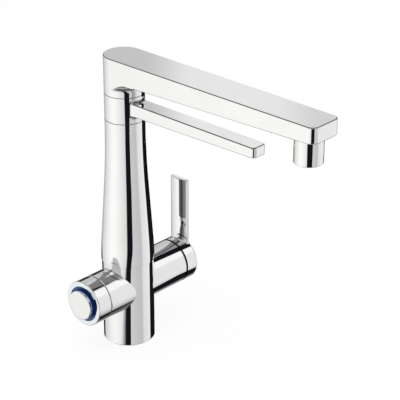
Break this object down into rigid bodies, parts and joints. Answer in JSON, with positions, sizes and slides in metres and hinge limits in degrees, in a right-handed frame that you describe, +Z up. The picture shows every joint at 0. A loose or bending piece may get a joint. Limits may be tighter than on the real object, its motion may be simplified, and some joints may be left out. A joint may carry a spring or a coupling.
{
  "type": "kitchen mixer tap",
  "caption": "Chromed kitchen mixer tap with a flat swivel spout, a slim swivel spout for filtered water, a side mixing lever and a lit rotary knob with a push button.",
  "frame": {"origin": "centre of the foot on the worktop", "axes": "+Z up along the column, +X along both spouts towards the user, +Y towards the mixing lever"},
  "size_m": [0.2647, 0.1397, 0.294],
  "materials": {
    "chrome": "mirror polished chrome plating",
    "brass": "turned, bare",
    "steel": "bright stainless",
    "rubber": "matt",
    "glide_plastic": "matt, self-lubricating",
    "cartridge_plastic": "moulded, matt",
    "disc_ceramic": "lapped",
    "outlet_plastic": "moulded, matt",
    "knob_plastic": "moulded, matt",
    "plug_plastic": "moulded, glossy",
    "blue_light": "clear blue, lit from behind",
    "board": "coated circuit board",
    "led": "clear, glossy"
  },
  "bodies": {
    "tap_body": {"valve_body": "chrome", "foot_seal": "rubber", "column_sleeve": "chrome", "swivel_core": "brass", "core_seals": "rubber", "ring_seals": "rubber", "spout_seal": "rubber", "spout_clip": "steel", "lower_glide_ring": "glide_plastic", "upper_glide_ring": "glide_plastic", "cartridge_base": "cartridge_plastic", "port_seals": "rubber", "fixed_disc": "disc_ceramic", "cartridge_housing": "cartridge_plastic", "cartridge_nut": "brass", "dome_ring": "knob_plastic", "headpart_body": "brass", "headpart_seal": "rubber", "headpart_fixed_disc": "disc_ceramic"},
    "main_spout_unit": {"main_spout": "chrome", "aerator_housing": "chrome", "aerator_insert": "outlet_plastic", "aerator_seal": "rubber"},
    "filter_spout_unit": {"filter_spout": "chrome", "flow_insert": "outlet_plastic"},
    "mixer_rotor_unit": {"cartridge_rotor": "cartridge_plastic", "stem_pin": "steel"},
    "mixer_disc_unit": {"moving_disc": "disc_ceramic", "disc_carrier": "cartridge_plastic"},
    "mixer_lever_unit": {"lever_stem": "steel", "mixer_lever": "chrome", "lever_grub_screw": "steel", "lever_screw_plug": "plug_plastic"},
    "filter_knob_unit": {"headpart_turning_disc": "disc_ceramic", "filter_spindle": "brass", "knob_sleeve": "chrome", "knob_core": "knob_plastic", "knob_screw": "steel", "light_ring": "blue_light", "led_board": "board", "led_chips": "led", "button_spring": "steel"},
    "push_button_unit": {"push_button": "chrome"}
  },
  "joints": [
    {"name": "main_spout_swivel", "type": "hinge", "parent": "tap_body", "child": "main_spout_unit", "pos_m": [0, 0, 0.265], "axis": [0, 0, 1], "range_deg": [-70, 70]},
    {"name": "filter_spout_swivel", "type": "hinge", "parent": "tap_body", "child": "filter_spout_unit", "pos_m": [0, 0, 0.2442], "axis": [0, 0, 1], "range_deg": [-70, 70]},
    {"name": "mixer_turn", "type": "hinge", "parent": "tap_body", "child": "mixer_rotor_unit", "pos_m": [0, 0.0411, 0.0575], "axis": [0, 1, 0], "range_deg": [-45, 45]},
    {"name": "mixer_lift", "type": "hinge", "parent": "mixer_rotor_unit", "child": "mixer_lever_unit", "pos_m": [0, 0.0411, 0.0575], "axis": [-1, 0, 0], "range_deg": [0, 20]},
    {"name": "disc_slide", "type": "slide", "parent": "mixer_rotor_unit", "child": "mixer_disc_unit", "axis": [0, 0, 1], "range_m": [0, 0.0024]},
    {"name": "knob_turn", "type": "hinge", "parent": "tap_body", "child": "filter_knob_unit", "pos_m": [0, -0.052, 0.0575], "axis": [0, 1, 0], "range_deg": [0, 90]},
    {"name": "button_press", "type": "slide", "parent": "filter_knob_unit", "child": "push_button_unit", "axis": [0, 1, 0], "range_m": [0, 0.002], "stiffness_N_per_m": 500, "springref_m": -0.004, "deforming": ["button_spring"]}
  ],
  "couplings": [
    {"joint": "disc_slide", "follows": "mixer_lift", "m_per_rad": 0.0066}
  ]
}
